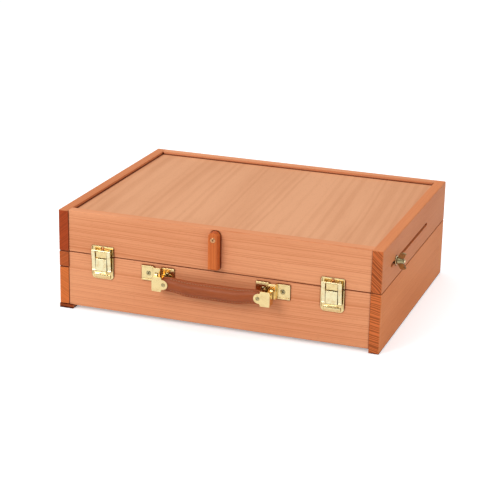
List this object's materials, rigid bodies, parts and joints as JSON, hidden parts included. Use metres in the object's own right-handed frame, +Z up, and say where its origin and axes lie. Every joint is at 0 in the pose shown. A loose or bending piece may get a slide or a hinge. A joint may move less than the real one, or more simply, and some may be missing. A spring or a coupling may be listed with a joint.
{
  "type": "table sketch box easel",
  "caption": "Wooden table sketch box easel: side drawer, hinged easel lid with slotted stays and canvas mast, brass draw catches and a swinging leather carrying handle.",
  "frame": {"origin": "on the table under the middle of the whole object, hardware included", "axes": "+X along the front to the right, +Y from the front to the back, +Z up"},
  "size_m": [0.4452, 0.3422, 0.13],
  "materials": {
    "solid_wood": "oiled beech, satin",
    "plywood": "beech plywood, satin",
    "mast_wood": "oiled reddish hardwood, satin",
    "brass": "polished lacquered brass",
    "copper_screw": "copper-coloured plated screw",
    "leather": "red-brown smooth leather"
  },
  "bodies": {
    "base": {"base_front_board": "solid_wood", "base_back_board": "solid_wood", "base_right_board": "solid_wood", "base_left_rail": "solid_wood", "base_left_runner": "solid_wood", "base_bottom_panel": "plywood", "compartment_floor": "plywood", "tray_dividers": "solid_wood", "stay_pivot_screws": "brass", "hinge_base_leaves": "brass", "hinge_pins": "brass", "hinge_base_screws": "brass", "handle_bracket_left": "brass", "handle_bracket_right": "brass", "handle_bracket_screws": "brass", "catch_plate_left": "brass", "catch_plate_right": "brass", "catch_base_screws": "brass", "catch_lever_pins": "brass"},
    "lid": {"lid_front_board": "solid_wood", "lid_back_board": "solid_wood", "lid_right_board": "solid_wood", "lid_left_board": "solid_wood", "lid_panel": "plywood", "mast_guides": "solid_wood", "catch_strike_left": "brass", "catch_strike_right": "brass", "catch_strike_screws": "brass", "hinge_lid_leaves": "brass", "hinge_lid_screws": "brass"},
    "mast": {"mast_bar": "solid_wood", "mast_head": "mast_wood", "mast_screw": "copper_screw"},
    "drawer": {"drawer_front": "solid_wood", "drawer_front_side": "solid_wood", "drawer_back_side": "solid_wood", "drawer_inner_end": "solid_wood", "drawer_bottom": "plywood", "drawer_long_divider": "solid_wood", "drawer_cross_dividers": "solid_wood", "drawer_knob": "brass"},
    "handle": {"handle_grip": "leather", "handle_cap_left": "brass", "handle_cap_right": "brass", "handle_rivets": "brass"},
    "stay_left": {"stay_bar_left": "brass", "stay_stud_left": "brass", "stay_washer_left": "brass"},
    "wing_nut_left": {"wing_nut_left": "brass"},
    "catch_lever_left": {"catch_lever_left": "brass", "catch_loop_pin_left": "brass"},
    "catch_loop_left": {"catch_loop_left": "brass"},
    "stay_right": {"stay_bar_right": "brass", "stay_stud_right": "brass", "stay_washer_right": "brass"},
    "wing_nut_right": {"wing_nut_right": "brass"},
    "catch_lever_right": {"catch_lever_right": "brass", "catch_loop_pin_right": "brass"},
    "catch_loop_right": {"catch_loop_right": "brass"}
  },
  "joints": [
    {"name": "lid_hinge", "type": "hinge", "parent": "base", "child": "lid", "pos_m": [0, 0.16885, 0.0762], "axis": [-1, 0, 0], "range_deg": [0, 62]},
    {"name": "mast_slide", "type": "slide", "parent": "lid", "child": "mast", "axis": [0, -1, 0], "range_m": [0, 0.18]},
    {"name": "drawer_slide", "type": "slide", "parent": "base", "child": "drawer", "axis": [-1, 0, 0], "range_m": [0, 0.26]},
    {"name": "handle_swing", "type": "hinge", "parent": "base", "child": "handle", "pos_m": [0, -0.15765, 0.0626], "axis": [-1, 0, 0], "range_deg": [0, 90]},
    {"name": "stay_pivot_left", "type": "hinge", "parent": "base", "child": "stay_left", "pos_m": [-0.1953, 0.05035, 0.0677], "axis": [-1, 0, 0], "range_deg": [0, 115]},
    {"name": "wing_nut_turn_left", "type": "hinge", "parent": "stay_left", "child": "wing_nut_left", "pos_m": [-0.216, -0.09165, 0.0997], "axis": [-1, 0, 0], "range_deg": [0, 360]},
    {"name": "catch_lever_pivot_left", "type": "hinge", "parent": "base", "child": "catch_lever_left", "pos_m": [-0.15, -0.15605, 0.0722], "axis": [-1, 0, 0], "range_deg": [0, 95]},
    {"name": "catch_loop_pivot_left", "type": "hinge", "parent": "catch_lever_left", "child": "catch_loop_left", "pos_m": [-0.15, -0.15605, 0.0578], "axis": [1, 0, 0], "range_deg": [0, 118]},
    {"name": "stay_pivot_right", "type": "hinge", "parent": "base", "child": "stay_right", "pos_m": [0.1953, 0.05035, 0.0677], "axis": [-1, 0, 0], "range_deg": [0, 115]},
    {"name": "wing_nut_turn_right", "type": "hinge", "parent": "stay_right", "child": "wing_nut_right", "pos_m": [0.216, -0.09165, 0.0997], "axis": [1, 0, 0], "range_deg": [0, 360]},
    {"name": "catch_lever_pivot_right", "type": "hinge", "parent": "base", "child": "catch_lever_right", "pos_m": [0.15, -0.15605, 0.0722], "axis": [-1, 0, 0], "range_deg": [0, 95]},
    {"name": "catch_loop_pivot_right", "type": "hinge", "parent": "catch_lever_right", "child": "catch_loop_right", "pos_m": [0.15, -0.15605, 0.0578], "axis": [1, 0, 0], "range_deg": [0, 118]}
  ],
  "couplings": [
    {"joint": "stay_pivot_left", "follows": "lid_hinge", "ratio": 1.8511},
    {"joint": "catch_loop_pivot_left", "follows": "catch_lever_pivot_left", "ratio": 1.217},
    {"joint": "stay_pivot_right", "follows": "lid_hinge", "ratio": 1.8511},
    {"joint": "catch_loop_pivot_right", "follows": "catch_lever_pivot_right", "ratio": 1.217}
  ]
}
